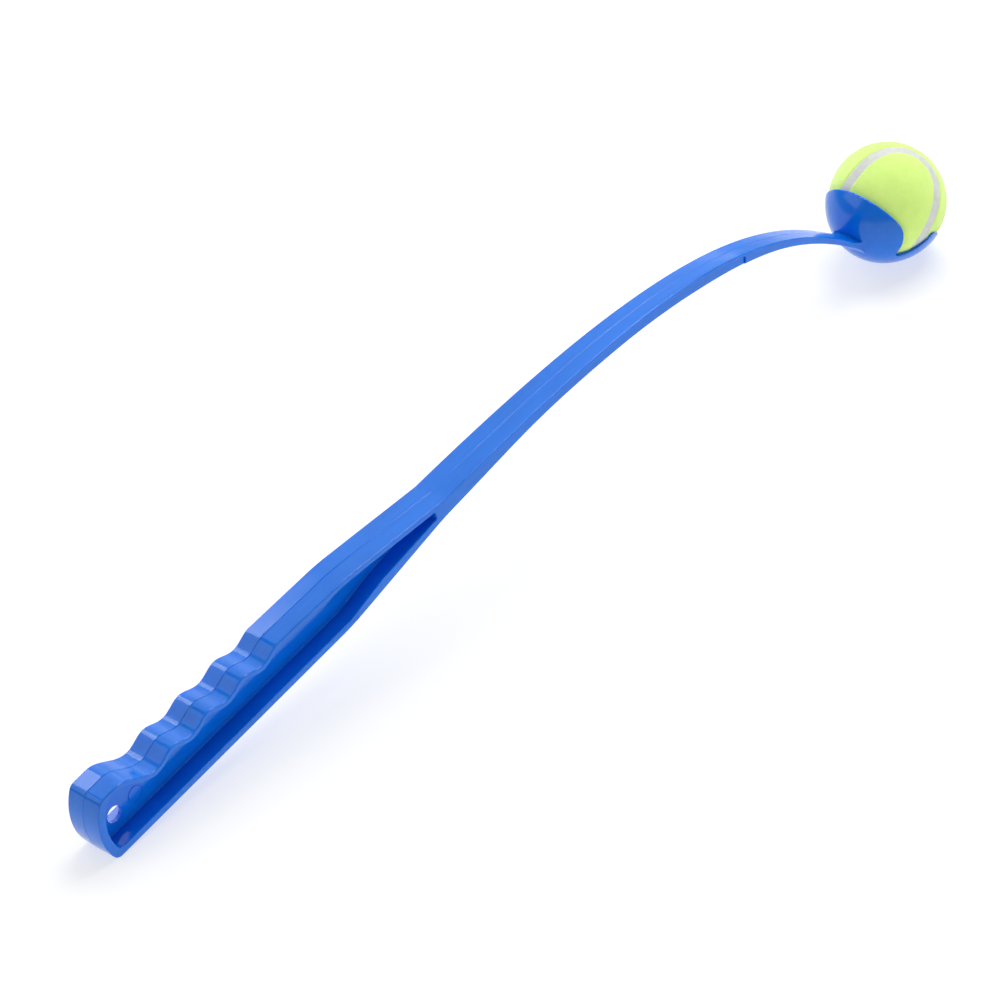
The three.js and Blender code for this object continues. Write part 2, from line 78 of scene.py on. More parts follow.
# Rims of the cup in the side view, as shares of the ball's radius from its centre
BACK_RIM_SHARES = (
    (-0.7, 1.2), (-0.69, 0.82), (-0.655, 0.6), (-0.617, 0.42), (-0.585, 0.22), (-0.6, 0.07),
    (-0.645, -0.1), (-0.72, -0.285),
)
LIP_RIM_SHARES = ((-0.7, -0.375), (-0.56, -0.39), (-0.34, -0.345), (-0.17, -0.3))

# The point inside the cup's back from which its whole rim can be seen, as a direction in the side view
CUP_POLE = (-0.8, -0.6)

# How finely the forms are divided
CORNER_STEPS = 10
GROOVE_STEPS = 26
ARM_STEPS = 130
ARM_CURVE_STEPS = 40 * ARM_STEPS
EDGE_STEPS = 4
RIM_STEPS = 120
CUP_RINGS = 30
SEAM_STEPS = 260
FELT_RINGS = 40
FELT_INNER_RINGS = 10
SEAM_SECTION_STEPS = 8

# Angle between two faces, in degrees, from which the edge between them is shaded sharp
WAND_SHARP_ANGLE = 34
BALL_SHARP_ANGLE = 60

# Pitches of the patterns in the materials
FLOW_PITCH = 14 * MM
POLISH_PITCH = 0.9 * MM
PEEL_PITCH = 2.2 * MM
MOTTLE_PITCH = 5 * MM
TUFT_PITCH = 0.8 * MM
RUBBER_CLOUD_PITCH = 4 * MM
SEAM_GRAIN = 0.5 * MM
CORE_GRAIN = 0.7 * MM
SHEET_CLOUD_PITCH = 1 / 3

# How far the floor reaches from its middle, in metres
FLOOR_REACH = 9

# Softboxes: name, azimuth and elevation from the wand in degrees, distance, width and height in metres,
# and brightness of the box's face against a white wall's
SOFTBOXES = (
    ("box_behind", 65, 38, 2.5, 3.1, 1.8, 0.9),
    ("lamp_behind", 89.5, 47.2, 2.3, 0.92, 0.3, 3.8),
    ("box_left", 140, 36, 2.5, 1.8, 1.6, 1.1),
    ("box_ahead", 34, 8.5, 2.5, 1.3, 1.1, 0.5),
    ("key_above", 10, 60, 2.5, 2, 1.4, 5),
    ("low_front", -62, 8, 2.6, 3, 0.9, 1.5),
)

# Brightness of the room from the horizon, at 0, to straight overhead, at 1
ROOM_LIGHT = ((0, 0.5), (0.15, 0.25), (1, 0.22))

# The photograph's view: sensor and lens in millimetres, what is near and far enough to be seen and the
# camera's place in metres, and the directions to the right of the picture and back to the viewer
SENSOR_WIDTH = 36
LENS = 162
NEAREST, FARTHEST = 0.1, 50
CAMERA_PLACE = (-1.2369, -1.3295, 1.3956)
CAMERA_RIGHT = (0.6747, -0.7296, -0.1118)
CAMERA_BACK = (-0.5361, -0.5884, 0.6053)


def size(name, description, millimetres):
    """A size that a user can change, shown in Blender's length unit."""
    return FloatProperty(
        name=name, description=description, default=millimetres * MM, unit="LENGTH", precision=5
    )


def fraction(name, description, value):
    """A share of something that a user can change."""
    return FloatProperty(name=name, description=description, default=value, subtype="FACTOR")


def degrees(name, description, value):
    """An angle that a user can change, from its value in degrees."""
    return FloatProperty(name=name, description=description, default=math.radians(value), unit="ROTATION")


def colour(name, description, code):
    """A colour that a user can change, from its sRGB hex code."""
    return FloatVectorProperty(
        name=name, description=description, default=linear(code), subtype="COLOR", size=3, min=0, max=1
    )


def linear(code):
    """The linear values of an sRGB hex code."""
    values = [int(code[i:i + 2], 16) / 255 for i in (1, 3, 5)]
    return [v / 12.92 if v <= 0.04045 else ((v + 0.055) / 1.055) ** 2.4 for v in values]


class GripSizes(bpy.types.PropertyGroup):
    """Sizes of the grip, from its hang hole"""

    butt_width: size("Butt width", "Width of the grip at its butt", 21.5)
    neck_width: size("Neck width", "Width of the grip where the arm starts", 20)
    web_thickness: size("Web thickness", "Thickness of the web between the side pockets", 2)
    butt_reach: size("Butt reach", "How far the butt reaches behind the hang hole", 16.7)
    butt_radius: size("Butt radius", "Radius of the butt's round end", 35.4)
    butt_rise: size("Butt rise", "Height of the round end's centre above the hang hole", 1.7)
    butt_corner: size("Butt corner", "Radius of the butt's lower corner", 5)
    horn_corner: size("Horn corner", "Radius of the butt's upper corner", 4.5)
    butt_height: size("Butt height", "Top of the butt above the hang hole", 24)
    butt_drop: size("Butt drop", "Underside of the grip below the hang hole", 14.3)
    horn_end: size("Horn end", "Where the flat top of the butt ends", 2)
    hang_hole: size("Hang hole", "Diameter of the hang hole", 9)
    groove_pitch: size("Groove pitch", "Distance from one finger groove to the next", 24.9)
    groove_depth: size("Groove depth", "Depth of a finger groove", 3.8)
    first_groove: size("First groove", "Place of the first finger groove", 25.5)
    first_height: size("Groove height", "Middle height of the first finger groove", 14.4)
    grip_fall: size("Grip fall", "How far the finger side falls over all the grooves", 1.75)
    top_bend: size("Top bend", "Place of the bend on the finger side", 161)
    top_bend_height: size("Top bend height", "Height of the bend on the finger side", 13.2)
    bottom_bend: size("Bottom bend", "Place of the bend in the underside", 156)
    bottom_bend_drop: size("Bottom bend drop", "Depth of the bend in the underside", 15.8)
    heel_setback: size("Heel setback", "Distance from the heel of the taper to the neck", 7)
    heel_drop: size("Heel drop", "Depth of the heel of the taper", 8)
    neck: size("Neck", "Place of the neck, where the arm starts", 231)
    neck_height: size("Neck height", "Height of the arm's top at the neck", 2.5)
    bend_blend: size("Bend blend", "Reach of the soft bends on either side of their corner", 7)
    butt_wall: size("Butt wall", "Wall between the pockets and the round end", 5)
    top_rim: size("Top rim", "Finger side flange at the face of the grip", 3.2)
    bottom_rim: size("Bottom rim", "Underside flange at the face of the grip", 4.2)
    knee_rim: size("Knee rim", "Underside flange at the pocket's knee", 6)
    pocket_setback: size("Pocket setback", "Distance from the pocket's tip to the neck", 7.3)
    pocket_end_drop: size("Pocket tip drop", "Floor of the pocket's tip below the hang hole", 3.9)
    wall_draft: size("Wall draft", "How far the pockets' walls close in towards the web", 0.25)
    pocket_corner: size("Pocket corner", "Radius of the pocket's corners at the butt", 4)
    pocket_tip: size("Pocket tip", "Radius of the corners at the pocket's tip", 1.1)
    root_fillet: size("Root fillet", "Fillet where the flanges meet the web", 0.45)
    edge_round: size("Edge round", "Radius of the long outer edges", 0.65)
    rim_round: size("Rim round", "Radius of the pockets' edges", 0.6)
    parting_depth: size("Parting depth", "Depth of the witness line between the mould's halves", 0.22)
    arm_parting_depth: size("Arm parting depth", "Depth of the witness line on the arm", 0.13)
    parting_width: size("Parting width", "Width of the witness line between the mould's halves", 0.5)
    ejector_place: size("Ejector place", "Distance from the hang hole to the ejector pin's mark", 14.5)
    ejector_radius: size("Ejector radius", "Radius of the ejector pin's mark on the web", 4.7)
    ejector_ring: size("Ejector ring", "Width of the ring that the ejector pin leaves", 0.6)
    ejector_depth: size("Ejector depth", "Depth of the ejector pin's mark", 0.3)
    groove_count: IntProperty(name="Grooves", description="Number of finger grooves", default=4, min=1)
    knee_share: fraction("Knee", "Place of the pocket's knee between bend and heel", 0.368)
    draft: degrees("Draft", "Draft of each half of the mould", 1.2)


class ArmSizes(bpy.types.PropertyGroup):
    """Sizes of the arm and of the cup at its end"""

    ball_reach: size("Ball reach", "Distance from the hang hole to the ball's centre", 575.1)
    ball_drop: size("Ball drop", "Depth of the ball's centre below the hang hole", 93)
    neck_depth: size("Neck depth", "Depth of the arm at the neck", 10)
    lip: size("Lip", "Thickness of the lip above the arm's side recesses", 1.5)
    recess_depth: size("Recess depth", "Depth of the arm's side recesses", 1)
    recess_lead: size("Recess lead", "Distance from the neck to where the recesses start", 3)
    recess_end_radius: size("Recess end", "Radius of the corner at the end of the recesses", 2)
    pad_width: size("Pad width", "Width of the pad on the back of the cup", 19.4)
    pad_rise: size("Pad rise", "Top of the pad above the ball's centre", 5)
    pad_drop: size("Pad drop", "Bottom of the pad below the ball's centre", 8.2)
    pad_crown: size("Pad crown", "How much lower the pad is at its sides", 2)
    pad_blend: size("Pad blend", "Length over which the arm spreads to the pad's width", 13)
    pad_start: size("Pad start", "Length over which the arm's lines spread to the pad's height", 8.3)
    pad_sink: size("Pad sink", "How far the arm's line runs into the cup's back", 1.5)
    ball_radius: size("Ball radius", "Radius of the ball over its pressed felt", 31.4)
    ball_clearance: size("Ball clearance", "Gap between the cup and the pressed felt", 0.3)
    lip_wall: size("Lip wall", "Thickness of the cup's lip", 1)
    rest_height: size("Rest height", "Height of the ball's centre over the ground as the wand lies", 32.8)
    back_wall: size("Back wall", "Thickness of the cup's back where the arm joins", 3.4)
    mouth_setback: size("Mouth setback", "Distance of the mouth's plane behind the ball's centre", 6.4)
    notch: size("Notch", "Radius of the notches at the sides of the cup", 1.5)
    rim_nose: size("Rim nose", "How far the cup's rounded rim takes to reach its full wall", 0.6)
    recess_full_share: fraction("Recess full", "Share of the arm over which the recesses deepen", 0.18)
    recess_end_share: fraction("Recess length", "Share of the arm at which the recesses end", 0.703)
    mouth_tilt: degrees("Mouth tilt", "How far the mouth looks up from the arm's line", 39)


class BallSizes(bpy.types.PropertyGroup):
    """Sizes of the ball's felt and seam"""

    felt: size("Felt", "Thickness of the felt and the cement under it", 2.4)
    nap: size("Nap", "How far the free nap stands above the felt that the cup presses", 0.4)
    nap_edge: size("Nap edge", "Radius of the felt's edge along the seam", 0.12)
    nap_thin: size("Nap thinning", "Distance from the seam over which the nap thins out", 1.6)
    nap_rise: size("Nap rise", "Distance from the cup's rim over which the nap rises", 3)
    seam_width: size("Seam width", "Width of the seam between the felt panels", 6.5)
    seam_crown: size("Seam crown", "How far the seam's middle stands above its edges", 0.06)
    glue_gap: size("Glue gap", "Gap between the seam and the felt panels", 0.04)
    lump: size("Lump", "Height of the felt's soft unevenness", 0.12)
    lump_pitch: size("Lump pitch", "Distance between the felt's uneven places", 5)
    seam_wave: fraction("Seam wave", "How far the seam swings from its middle", 0.111)
    turn: FloatVectorProperty(
        name="Ball turn", description="How the ball lies turned in the cup", subtype="EULER",
        default=[math.radians(angle) for angle in (-45.9, 74.5, 37.1)],
    )


class Finishes(bpy.types.PropertyGroup):
    """Colours of the launcher and its ball"""

    plastic: colour("Plastic", "Colour of the moulded polypropylene", "#0576E4")
    felt: colour("Felt", "Colour of the ball's felt", "#DAFB88")
    fibre_ends: colour("Fibre ends", "Sheen of the felt's fibre ends at grazing angles", "#F2FFD8")
    seam: colour("Seam", "Colour of the rubber seam", "#DADDD8")
    core: colour("Core", "Colour of the rubber core", "#2B2B2D")
    floor: colour("Floor", "Colour of the studio's floor", "#B6B6B6")


# Lines in the side view


def unit(vector):
    """The direction of a vector."""
    return np.asarray(vector, float) / np.linalg.norm(vector)


def arc(centre, radius, start, end, steps):
    """Points at even steps round a circle, from one angle to another."""
    angles = np.linspace(start, end, steps + 1)
    return centre + radius * np.c_[np.cos(angles), np.sin(angles)]


def curve_through(start, bend, end):
    """A soft line from start to end that leans towards the bend."""
    t = np.linspace(0, 1, CORNER_STEPS + 1)[:, None]
    return (1 - t) ** 2 * start + 2 * t * (1 - t) * bend + t ** 2 * end


def soft_corner(before, corner, after, reach):
    """A rounded corner that leaves each leg at the given distance from it."""
    before, corner, after = (np.asarray(point, float) for point in (before, corner, after))
    start = corner + reach * unit(before - corner)
    end = corner + reach * unit(after - corner)
    return curve_through(start, corner, end)


def to_right(steps):
    """The directions square to a line's steps, to their right."""
    run = steps / np.linalg.norm(steps, axis=1)[:, None]
    return np.c_[run[:, 1], -run[:, 0]]


def right_of(points):
    """The direction to the right of a closed line at each of its points."""
    return to_right(np.roll(points, -1, 0) - np.roll(points, 1, 0))


def move_aside(points, distance):
    """A closed line moved to its right by a distance, or by one for each point."""
    return points + right_of(points) * np.broadcast_to(distance, len(points))[:, None]


def smooth_through(rows, places):
    """Values read from rows of place and value on a line with no corners."""
    at, value = np.array(rows, float).T
    slope = np.gradient(value, at)
    places = np.clip(places, at[0], at[-1])
    k = np.clip(np.searchsorted(at, places, side="right") - 1, 0, len(at) - 2)
    span = at[k + 1] - at[k]
    t = (places - at[k]) / span
    h = t * t * (3 - 2 * t)
    bend = span * t * (1 - t) * (slope[k] * (1 - t) - slope[k + 1] * t)
    return value[k] * (1 - h) + value[k + 1] * h + bend


def spline_through(points, steps):
    """Points on a smooth line through every given point."""
    points = np.array(points, float)
    fine = np.linspace(0, len(points) - 1, steps)
    return np.column_stack([smooth_through(list(enumerate(column)), fine) for column in points.T])


# The wand in the side view


def grip_top(grip):
    """The finger side of the grip, from the end of the flat butt to the neck."""
    trough = grip.first_height - grip.groove_depth / 2
    fall = np.linspace(0, 1, GROOVE_STEPS, endpoint=False)
    horn = np.c_[
        grip.horn_end + (grip.first_groove - grip.horn_end) * fall,
        trough + (grip.butt_height - trough) * (1 + np.cos(np.pi * fall)) / 2,
    ]
    # the last wave ends on its crest, half a wave past the last groove's middle
    last = grip.groove_count - 0.5
    waves = np.linspace(0, last, round(last * GROOVE_STEPS) + 1)
    middle = grip.first_height - grip.grip_fall * waves / grip.groove_count
    grooves = np.c_[
        grip.first_groove + waves * grip.groove_pitch,
        middle - grip.groove_depth / 2 * np.cos(2 * np.pi * waves),
    ]
    bend = (grip.top_bend, grip.top_bend_height)
    neck = (grip.neck, grip.neck_height)
    return np.vstack([horn, grooves, soft_corner(grooves[-1], bend, neck, grip.bend_blend)])


def underside(grip):
    """The bend in the underside of the grip, and the heel of its taper."""
    bend = np.array((grip.bottom_bend, -grip.bottom_bend_drop))
    return bend, np.array((grip.neck - grip.heel_setback, -grip.heel_drop))


def butt_end(grip, wall, top, bottom, bottom_corner, top_corner):
    """The round end of the butt from its bottom line to its top line, set in by the wall."""
    middle = np.array((grip.butt_radius - grip.butt_reach, grip.butt_rise))
    radius = grip.butt_radius - wall

    def corner_centre(level, corner):
        z = level + corner
        return np.array((middle[0] - math.sqrt((radius - abs(corner)) ** 2 - (z - middle[1]) ** 2), z))

    low = corner_centre(bottom, bottom_corner)
    high = corner_centre(top, -top_corner)
    low_angle = math.atan2(*(low - middle)[::-1]) + 2 * math.pi
    high_angle = math.atan2(*(high - middle)[::-1])
    return np.vstack([
        arc(low, bottom_corner, 1.5 * math.pi, low_angle, CORNER_STEPS),
        arc(middle, radius, low_angle, high_angle, 3 * CORNER_STEPS)[1:-1],
        arc(high, top_corner, high_angle, math.pi / 2, CORNER_STEPS),
    ])


def outer_butt(grip):
    """The round end of the butt at the face of the grip."""
    return butt_end(grip, 0, grip.butt_height, -grip.butt_drop, grip.butt_corner, grip.horn_corner)


def arm_ends(grip, arm):
    """Where the arm's top line starts and ends."""
    back = arm.ball_radius + arm.ball_clearance + arm.back_wall
    start = np.array((grip.neck, grip.neck_height))
    return start, np.array((arm.ball_reach - back + arm.pad_sink, -arm.ball_drop))


def arm_lines(grip, arm, start_share, end_share):
    """The arm's top line at even steps between two shares of its length, the direction through the arm
    and its depth at each step, and the length of the whole arm."""
    start, end = arm_ends(grip, arm)
    first, second = (start + np.array(share) * (end - start) for share in ARM_HANDLE_SHARES)
    places = np.linspace(0, 1, ARM_CURVE_STEPS + 1)
    t = places[:, None]
    line = (1 - t) ** 3 * start + 3 * t * (1 - t) ** 2 * first + 3 * t ** 2 * (1 - t) * second + t ** 3 * end
    steps = np.linalg.norm(np.diff(line, axis=0), axis=1)
    along = np.r_[0, np.cumsum(steps)] / steps.sum()
    share = np.interp(np.linspace(start_share, end_share, ARM_STEPS + 1), along, places)

    def here(rows):
        return np.column_stack([np.interp(share, places, column) for column in rows.T])

    depth = arm.neck_depth * smooth_through(ARM_DEPTH_SHARES, share)
    return here(line), here(to_right(np.gradient(line, axis=0))), depth[:, None], steps.sum()


def pad_line(grip, arm, start, height, shares):
    """The arm's top or bottom line where it spreads into the pad on the back of the cup."""
    end = np.array((arm_ends(grip, arm)[1][0], height - arm.ball_drop))
    bend = (start[0] + shares[0] * (end[0] - start[0]), end[1] + shares[1] * (start[1] - end[1]))
    sunk = arm.ball_reach - arm.ball_radius - arm.ball_clearance - arm.rim_nose
    return np.vstack([curve_through(start, bend, end), (sunk, end[1])])


def half_width(grip, arm, x):
    """Half the width of the wand at places along it."""
    start, end = arm_ends(grip, arm)
    share = (x + grip.butt_reach) / (grip.neck + grip.butt_reach)
    in_grip = (grip.butt_width + (grip.neck_width - grip.butt_width) * share) / 2
    in_arm = grip.neck_width / 2 * smooth_through(ARM_WIDTH_SHARES, (x - start[0]) / (end[0] - start[0]))
    spread = np.clip((x - end[0] + arm.pad_blend) / arm.pad_blend, 0, 1) ** 2
    return np.where(x <= grip.neck, in_grip, in_arm + (arm.pad_width / 2 - in_arm) * spread)


def wand_outline(grip, arm, crown):
    """The outline of the grip and arm, from the cup along the bottom, round the butt and back."""
    whole = arm_lines(grip, arm, 0, 1)[3]
    top, through, depth, _ = arm_lines(grip, arm, 0, 1 - arm.pad_start / whole)
    bottom = top + through * depth
    butt = outer_butt(grip)
    bend, heel = underside(grip)
    return np.vstack([
        pad_line(grip, arm, bottom[-1], crown - arm.pad_drop, PAD_LOW_SHARES)[::-1],
        bottom[-2::-1],
        heel,
        soft_corner(heel, bend, butt[0], grip.bend_blend),
        butt,
        grip_top(grip),
        top[:-1],
        pad_line(grip, arm, top[-1], arm.pad_rise - crown, PAD_TOP_SHARES),
    ])


def pocket_outline(grip, inset):
    """One ring of a side pocket: at the face of the grip, or set in where the pocket meets the web."""
    top, bottom, knee = (rim + inset for rim in (grip.top_rim, grip.bottom_rim, grip.knee_rim))
    corner = grip.pocket_corner - inset
    butt = butt_end(
        grip, grip.butt_wall + inset, grip.butt_height - top, bottom - grip.butt_drop, corner, corner
    )
    line = grip_top(grip)
    roof = line + top * to_right(np.gradient(line, axis=0))
    bend, heel = underside(grip)
    knee_point = bend + grip.knee_share * (heel - bend) + (0, knee)
    tip = grip.neck - grip.pocket_setback - inset
    tip_bottom = (tip, inset - grip.pocket_end_drop)
    taper = unit(np.array((grip.neck, grip.neck_height)) - (grip.top_bend, grip.top_bend_height))
    tip_top = roof[-1] + taper * (tip - roof[-1][0]) / taper[0]
    return np.vstack([
        soft_corner(tip_top, tip_bottom, knee_point, grip.pocket_tip),
        knee_point,
        bend + (0, bottom),
        butt,
        roof,
        soft_corner(roof[-1], tip_top, tip_bottom, grip.pocket_tip),
    ])


# Bodies


def put_in_scene(name, data):
    """A new object in the scene, made of the given data."""
    made = bpy.data.objects.new(name, data)
    bpy.context.scene.collection.objects.link(made)
    return made


def new_object(name, vertices, faces):
    """A new mesh object whose faces look outwards."""
    mesh = bpy.data.meshes.new(name)
    mesh.from_pydata([tuple(vertex) for vertex in vertices], [], faces)
    shell = bmesh.new()
    shell.from_mesh(mesh)
    bmesh.ops.recalc_face_normals(shell, faces=shell.faces)
    shell.to_mesh(mesh)
    shell.free()
    return put_in_scene(name, mesh)


def faces_between(first, second, count):
    """The faces between two rings of points, from the number of each ring's first point."""
    return [(first + i, first + (i + 1) % count, second + (i + 1) % count, second + i) for i in range(count)]


def triangles_in(line):
    """Triangles that fill a closed line and join points near each other, so that a curved side is even."""
    count = len(line)
    ring = [(i, (i + 1) % count) for i in range(count)]
    points = [Vector((x, z)) for x, z in line]
    only_inside, tolerance = 1, 1e-9
    _, _, triangles, sources, _, _ = delaunay_2d_cdt(
        points, ring, [list(range(count))], only_inside, tolerance
    )
    return [tuple(sources[corner][0] for corner in triangle) for triangle in triangles]


def slab(name, layers):
    """A closed body across the wand: each layer is an outline and its distance across."""
    count = len(layers[0][0])
    last = count * (len(layers) - 1)
    vertices = np.concatenate([
        np.c_[line[:, 0], np.broadcast_to(across, count), line[:, 1]] for line, across in layers
    ])
    faces = [face for row in range(0, last, count) for face in faces_between(row, row + count, count)]
    for line, first in ((layers[0][0], 0), (layers[-1][0], last)):
        faces += [tuple(first + corner for corner in triangle) for triangle in triangles_in(line)]
    return new_object(name, vertices, faces)


def spoke_body(name, rings, first, last):
    """A closed body through rings of equally many points, with a single point at each end."""
    count = len(rings[0])
    vertices = np.vstack([first, *rings, last])
    faces = [(0, 1 + (i + 1) % count, 1 + i) for i in range(count)]
    for row in range(len(rings) - 1):
        faces += faces_between(1 + row * count, 1 + (row + 1) * count, count)
    end = 1 + (len(rings) - 1) * count
    faces += [(end + i, end + (i + 1) % count, len(vertices) - 1) for i in range(count)]
    return new_object(name, vertices, faces)


def combine(body, tool, operation):
    """Cuts a tool out of a body, or joins it on, and takes the tool away."""
    modifier = body.modifiers.new("combine", "BOOLEAN")
    modifier.operation = operation
    modifier.solver = "MANIFOLD"
    modifier.object = tool
    apply_modifiers(body)
    bpy.data.objects.remove(tool)
    if not body.data.polygons:
        raise RuntimeError(f"{body.name} is empty after {operation.lower()}")


def apply_modifiers(body):
    """Gives a body the mesh that its modifiers make, and takes them off."""
    bpy.context.view_layer.update()
    done = bpy.data.meshes.new_from_object(body.evaluated_get(bpy.context.evaluated_depsgraph_get()))
    body.modifiers.clear()
    body.data = done


def smooth_by_angle(body, sharp_angle):
    """Shades a body smooth, apart from its true edges."""
    body.data.shade_smooth()
    body.data.set_sharp_from_angle(angle=math.radians(sharp_angle))
    weighted = body.modifiers.new("weighted", "WEIGHTED_NORMAL")
    weighted.keep_sharp = True
    apply_modifiers(body)


def quarter_round(radius):
    """The steps of a rounded edge: how far each is set in from one face, and how far from the other."""
    turns = [math.pi / 2 * step / EDGE_STEPS for step in range(EDGE_STEPS + 1)]
    return [(radius * (1 - math.sin(turn)), radius * (1 - math.cos(turn))) for turn in turns]


def wand_bar(grip, arm):
    """The grip and arm, with rounded long edges, drafted halves and the mould's witness line."""
    full = wand_outline(grip, arm, 0)
    crowned = wand_outline(grip, arm, arm.pad_crown)
    upright = 1 - np.maximum(right_of(crowned)[:, 1], 0)
    width = half_width(grip, arm, crowned[:, 0])
    drafted = width * math.tan(grip.draft) * upright
    near_side = [
        (move_aside(crowned, drafted + inset), width - drop)
        for inset, drop in quarter_round(grip.edge_round)
    ]
    beside = grip.parting_width / 2
    near_side.append((move_aside(full, beside * math.tan(grip.draft)), beside))
    depth = np.where(full[:, 0] < grip.neck, grip.parting_depth, grip.arm_parting_depth)
    far_side = [(outline, -across) for outline, across in reversed(near_side)]
    return slab("wand_bar", near_side + [(move_aside(full, depth), 0)] + far_side)


def pocket_tool(grip, arm, side):
    """What a side pocket takes out: a fillet at the web, sloping walls and a rounded rim."""
    rim, root = pocket_outline(grip, 0), pocket_outline(grip, grip.wall_draft)
    web = grip.web_thickness / 2
    face = half_width(grip, arm, rim[:, 0])
    layers = [(move_aside(root, inset), web + rise) for inset, rise in quarter_round(grip.root_fillet)]
    layers += [(move_aside(rim, -spread), face - drop) for drop, spread in quarter_round(grip.rim_round)]
    layers.append((layers[-1][0], face + grip.web_thickness))
    return slab("pocket_tool", [(line, side * across) for line, across in layers])


def round_tool(centre, radius, start, end, side=1):
    """A plain round tool through the web, or into it."""
    ring = arc(centre, radius, 0, 2 * math.pi, 6 * CORNER_STEPS)[:-1]
    return slab("round_tool", [(ring, side * start), (ring, side * end)])


def recess_tool(grip, arm, side):
    """What a side recess takes off the arm: it starts at nothing, deepens and ends in a small wall."""
    whole = arm_lines(grip, arm, 0, 1)[3]
    top, through, _, _ = arm_lines(grip, arm, arm.recess_lead / whole, arm.recess_end_share)
    roof = top + through * arm.lip
    well_below = top + through * 2 * arm.neck_depth
    # a few steps back along the roof, so that the corner starts in the roof's own direction
    before_end = roof[-6]
    corner = soft_corner(before_end, roof[-1], well_below[-1], arm.recess_end_radius)
    outline = np.vstack([roof[roof[:, 0] < corner[0][0] - arm.recess_depth], corner, well_below[::-1]])
    deep = np.clip((outline[:, 0] - top[0][0]) / (arm.recess_full_share * whole), 0, 1)
    face = half_width(grip, arm, outline[:, 0])
    return slab("recess_tool", [
        (outline, side * (face - arm.recess_depth * deep)),
        (outline, side * (face + arm.recess_depth)),
    ])


def cup_rim(arm):
    """The cup's near rim from its top to its lowest point, as directions from the ball's centre."""
    radius = arm.ball_radius + arm.ball_clearance + arm.lip_wall / 2
    scale = arm.ball_radius / radius
    back = spline_through(BACK_RIM_SHARES, RIM_STEPS) * scale
    lip = spline_through(LIP_RIM_SHARES, RIM_STEPS // 2) * scale
    # the rounded corner keeps to its own half of the step from the back to the lip
    most = 0.45 * np.linalg.norm(back[-1] - lip[0])
    notch = soft_corner(back[-2], back[-1], lip[0], min(arm.notch / 2 / radius, most))
    mouth = np.array((math.cos(arm.mouth_tilt), math.sin(arm.mouth_tilt)))
    along = np.array((mouth[1], -mouth[0]))
    level = -arm.mouth_setback / radius
    far = math.sqrt(1 - level ** 2)
    peak = level * mouth + ((lip[-1] - level * mouth) @ along) * along
    corner = soft_corner(lip[-1], peak, peak + along, 2 * arm.notch / radius)
    start = (corner[-1] - level * mouth) @ along
    sweep = np.linspace(math.asin(start / far), math.pi / 2, RIM_STEPS)
    mouth_line = level * mouth + far * np.sin(sweep)[:, None] * along
    back = back[np.linalg.norm(back, axis=1) < 1]
    line = np.vstack([back[:-1], notch, lip[1:-1][lip[1:-1, 0] < corner[0][0]], corner, mouth_line[1:-1]])
    across = -np.sqrt(np.maximum(1 - (line ** 2).sum(1), 0))
    rim = np.c_[line[:, 0], across, line[:, 1]]
    top = np.array((back[0][0], 0, math.sqrt(1 - back[0][0] ** 2)))
    lowest = np.array((*(level * mouth + far * along), 0))[[0, 2, 1]]
    return np.vstack([top, rim, lowest])


def cup_outside(arm, directions):
    """Distance of the cup's outer face: round in front, drawn out to a thicker wall at the back."""
    front = arm.ball_radius + arm.ball_clearance + arm.lip_wall
    back = arm.ball_radius + arm.ball_clearance + arm.back_wall
    along = directions[..., 0]
    reach = 1 / np.sqrt((along / back) ** 2 + (1 - along ** 2) / front ** 2)
    return np.where(along < 0, reach, front)


def slerp(start, end, share):
    """Directions at shares of the way over a sphere from one direction to others."""
    angle = np.arccos(np.clip(end @ start, -1, 1))[:, None]
    return (np.sin((1 - share) * angle) * start + np.sin(share * angle) * end) / np.sin(angle)


def cup_shell(arm):
    """The claw cup: its outer face, a rounded rim and its inner face, on spokes from its back."""
    near = cup_rim(arm)
    rim = np.vstack([near, near[-2:0:-1] * (1, -1, 1)])
    pole = np.array((unit(CUP_POLE)[0], 0, unit(CUP_POLE)[1]))
    inside = arm.ball_radius + arm.ball_clearance
    angle = np.arccos(np.clip(rim @ pole, -1, 1))[:, None]
    nose = 1 - arm.rim_nose / inside / angle
    centre = np.array((arm.ball_reach, 0, -arm.ball_drop))
    rings = []
    for share in np.linspace(0, 1, CUP_RINGS + 1)[1:]:
        way = slerp(pole, rim, share * nose)
        rings.append(way * cup_outside(arm, way)[:, None])
    wall = (cup_outside(arm, rim) - inside)[:, None]
    for turn in np.linspace(0, math.pi, 2 * EDGE_STEPS + 1)[1:-1]:
        way = slerp(pole, rim, nose + (1 - nose) * math.sin(turn))
        rings.append(way * (inside + wall * (1 + math.cos(turn)) / 2))
    for share in np.linspace(1, 0, CUP_RINGS + 1)[:-1]:
        rings.append(slerp(pole, rim, share * nose) * inside)
    first = pole * cup_outside(arm, pole)
    return spoke_body("cup", [ring + centre for ring in rings], first + centre, pole * inside + centre)


def stance(grip, arm):
    """The move from the side view to the model's frame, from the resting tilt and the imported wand's box."""
    butt = outer_butt(grip)
    corner = butt[0] + (0, grip.butt_corner)
    span = np.array((arm.ball_reach, -arm.ball_drop)) - corner
    rise = math.asin((arm.rest_height - grip.butt_corner) / np.linalg.norm(span))
    tilt = rise - math.atan2(span[1], span[0])
    turned = Matrix.Rotation(-tilt, 4, "Y")
    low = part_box("wand")[0]
    end = [turned @ Vector((x, 0, z)) for x, z in butt]
    shift = Vector((low.x - min(point.x for point in end), 0, low.z - min(point.z for point in end)))
    return Matrix.Translation(shift) @ turned


# The ball


